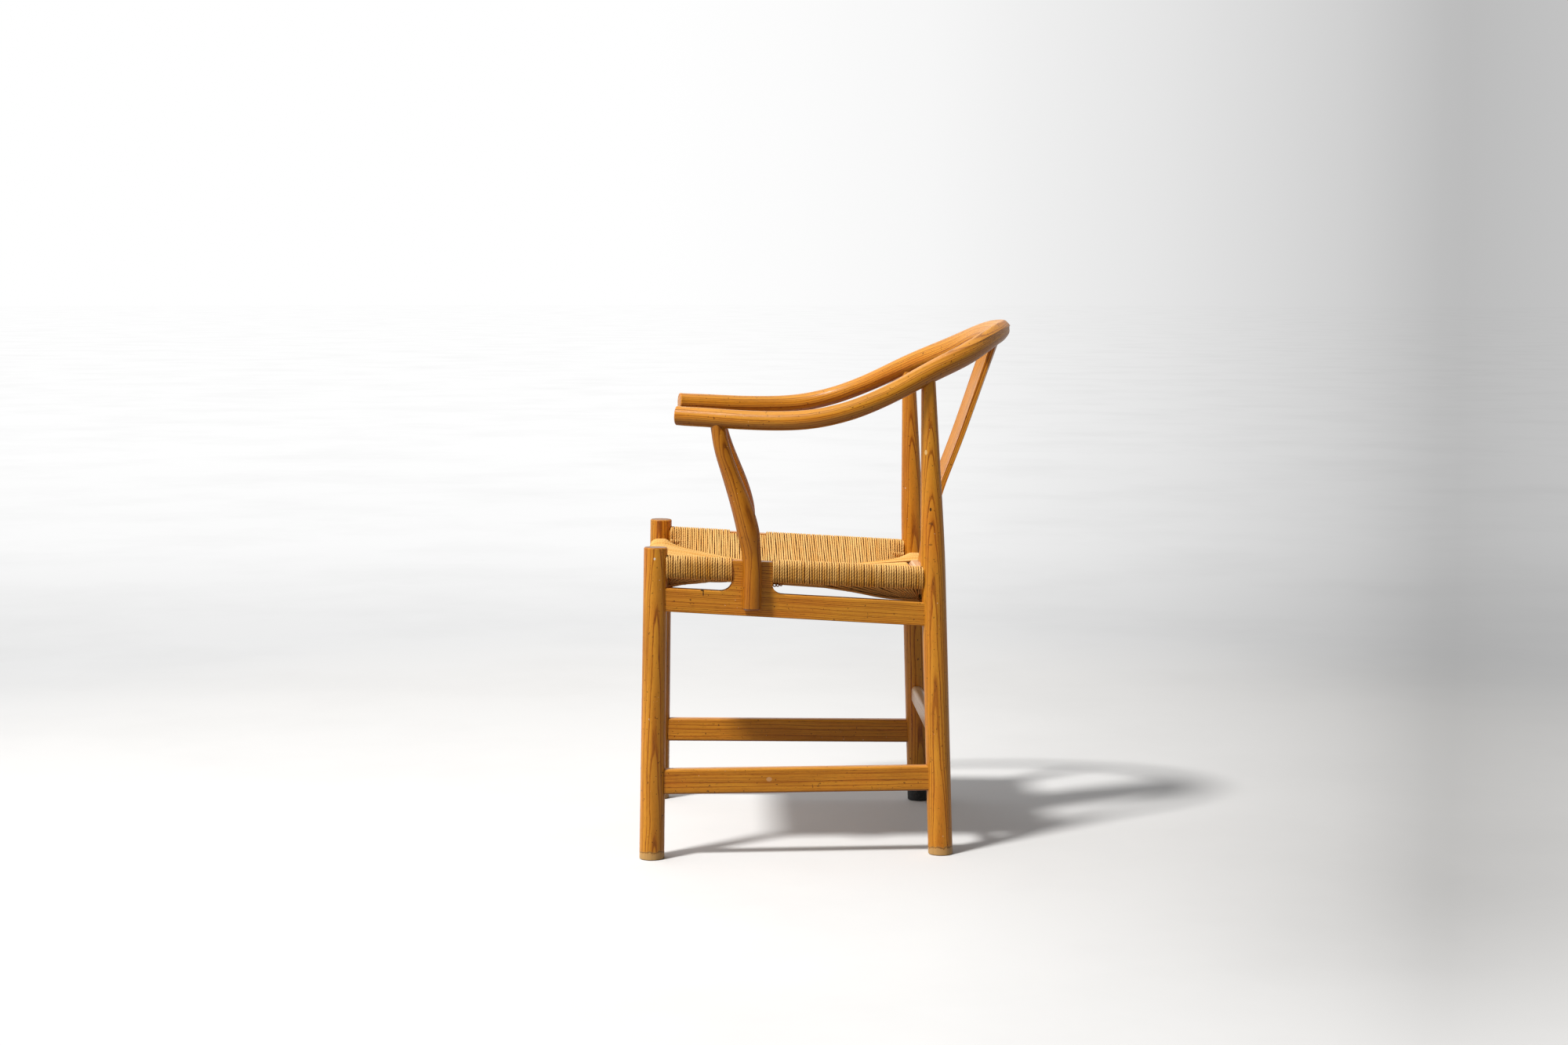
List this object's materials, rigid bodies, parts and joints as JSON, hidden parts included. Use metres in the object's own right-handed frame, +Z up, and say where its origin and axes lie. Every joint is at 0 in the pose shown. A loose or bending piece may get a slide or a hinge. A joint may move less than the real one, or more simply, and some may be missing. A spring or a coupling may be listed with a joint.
{
  "type": "horseshoe back armchair",
  "caption": "Horseshoe back armchair: turned legs, a bent rail that runs from arm to arm, a bent splat, slotted side boards and a woven paper cord seat.",
  "frame": {"origin": "on the floor, in the middle of the chair's width and depth", "axes": "+X to the sitter's left, +Y to the back, +Z up; the chair faces -Y"},
  "size_m": [0.5486, 0.5778, 0.8045],
  "materials": {
    "lacquered_ash": "honey brown lacquered ash with darker open grain, satin, worn pale at the feet",
    "pale_ash": "paler, slightly pink ash, satin",
    "paper_cord": "twisted natural paper cord, matt, close wrapped",
    "tack_steel": "dull steel tacks",
    "dowel_beech": "raw turned beech",
    "black_rubber": "black moulded rubber, matt"
  },
  "bodies": {
    "root": {"left_front_leg": "lacquered_ash", "right_front_leg": "lacquered_ash", "left_rear_leg": "lacquered_ash", "right_rear_leg": "lacquered_ash", "left_side_frame": "lacquered_ash", "right_side_frame": "lacquered_ash", "front_seat_rail": "lacquered_ash", "rear_seat_rail": "lacquered_ash", "left_side_stretcher": "lacquered_ash", "right_side_stretcher": "lacquered_ash", "left_arm_post": "lacquered_ash", "right_arm_post": "lacquered_ash", "top_rail": "lacquered_ash", "back_splat": "lacquered_ash", "rear_stretcher": "pale_ash", "woven_seat": "paper_cord", "cord_tacks": "tack_steel", "arm_post_dowels": "dowel_beech", "right_rear_foot_cap": "black_rubber"}
  },
  "joints": []
}
